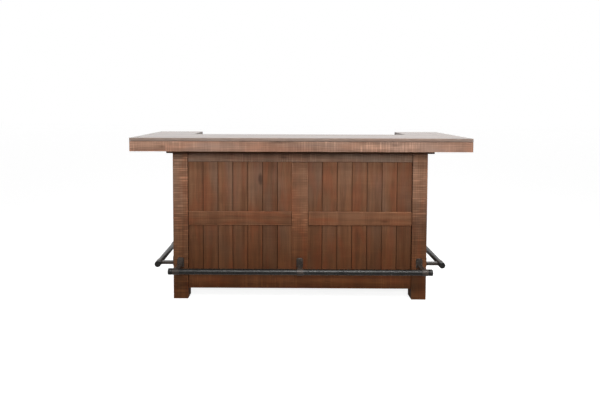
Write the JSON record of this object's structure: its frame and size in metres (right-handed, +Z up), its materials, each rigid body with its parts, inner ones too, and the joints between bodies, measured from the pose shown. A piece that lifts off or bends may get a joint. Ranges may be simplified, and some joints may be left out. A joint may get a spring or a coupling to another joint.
{
  "type": "bar counter",
  "caption": "Free-standing wooden bar counter with a U-shaped overhanging top, planked body, iron foot rails on three sides, and drawers and cupboards behind.",
  "frame": {"origin": "on the floor, below the middle of the top", "axes": "+X to the guests' right as they face the counter, +Y from the guests' side towards the bartender, +Z up"},
  "size_m": [2.08, 0.8, 1.067],
  "materials": {
    "top_wood": "rough-sawn pine, brown stain with a grey cast, satin lacquer",
    "frame_wood": "rough-sawn pine, dark brown stain, satin lacquer",
    "plank_wood": "planed pine planks, dark brown stain, satin lacquer",
    "carcass_wood": "planed boards, dark brown stain",
    "iron": "near-black powder coat over iron, satin"
  },
  "bodies": {
    "counter": {"top_board_front": "top_wood", "top_board_left_wing": "top_wood", "top_board_right_wing": "top_wood", "edge_strip_front": "top_wood", "edge_strip_left": "top_wood", "edge_strip_right": "top_wood", "edge_strip_left_notch": "top_wood", "edge_strip_right_notch": "top_wood", "edge_strip_notch_front": "top_wood", "edge_strip_left_wing_end": "top_wood", "edge_strip_right_wing_end": "top_wood", "sub_top": "carcass_wood", "post_front_left": "frame_wood", "post_front_right": "frame_wood", "post_rear_left": "frame_wood", "post_rear_right": "frame_wood", "panel_front": "plank_wood", "rail_front_top": "frame_wood", "rail_front_middle_left": "frame_wood", "rail_front_middle_right": "frame_wood", "rail_front_bottom": "frame_wood", "stile_front": "frame_wood", "panel_left": "plank_wood", "rail_left_top": "frame_wood", "rail_left_middle": "frame_wood", "rail_left_bottom": "frame_wood", "panel_right": "plank_wood", "rail_right_top": "frame_wood", "rail_right_middle": "frame_wood", "rail_right_bottom": "frame_wood", "floor_board": "carcass_wood", "worktop": "carcass_wood", "rail_rear_bottom": "carcass_wood", "shelf": "carcass_wood", "divider_left": "carcass_wood", "divider_right": "carcass_wood", "drawer_board_left": "carcass_wood", "drawer_board_right": "carcass_wood", "foot_rail_front": "iron", "foot_rail_left": "iron", "foot_rail_right": "iron", "bracket_front_left": "iron", "bracket_front_middle": "iron", "bracket_front_right": "iron", "bracket_left_front": "iron", "bracket_left_rear": "iron", "bracket_right_front": "iron", "bracket_right_rear": "iron"},
    "drawer_left": {"drawer_left_front": "frame_wood", "drawer_left_box": "carcass_wood", "drawer_left_knob": "iron"},
    "drawer_right": {"drawer_right_front": "frame_wood", "drawer_right_box": "carcass_wood", "drawer_right_knob": "iron"},
    "door_left": {"door_left_frame": "frame_wood", "door_left_panel": "plank_wood", "door_left_knob": "iron"},
    "door_right": {"door_right_frame": "frame_wood", "door_right_panel": "plank_wood", "door_right_knob": "iron"}
  },
  "joints": [
    {"name": "drawer_left_slide", "type": "slide", "parent": "counter", "child": "drawer_left", "axis": [0, 1, 0], "range_m": [0, 0.3]},
    {"name": "drawer_right_slide", "type": "slide", "parent": "counter", "child": "drawer_right", "axis": [0, 1, 0], "range_m": [0, 0.3]},
    {"name": "door_left_hinge", "type": "hinge", "parent": "counter", "child": "door_left", "pos_m": [-0.699, 0.345, 0.1893], "axis": [0, 0, 1], "range_deg": [0, 110]},
    {"name": "door_right_hinge", "type": "hinge", "parent": "counter", "child": "door_right", "pos_m": [0.699, 0.345, 0.1893], "axis": [0, 0, -1], "range_deg": [0, 110]}
  ]
}
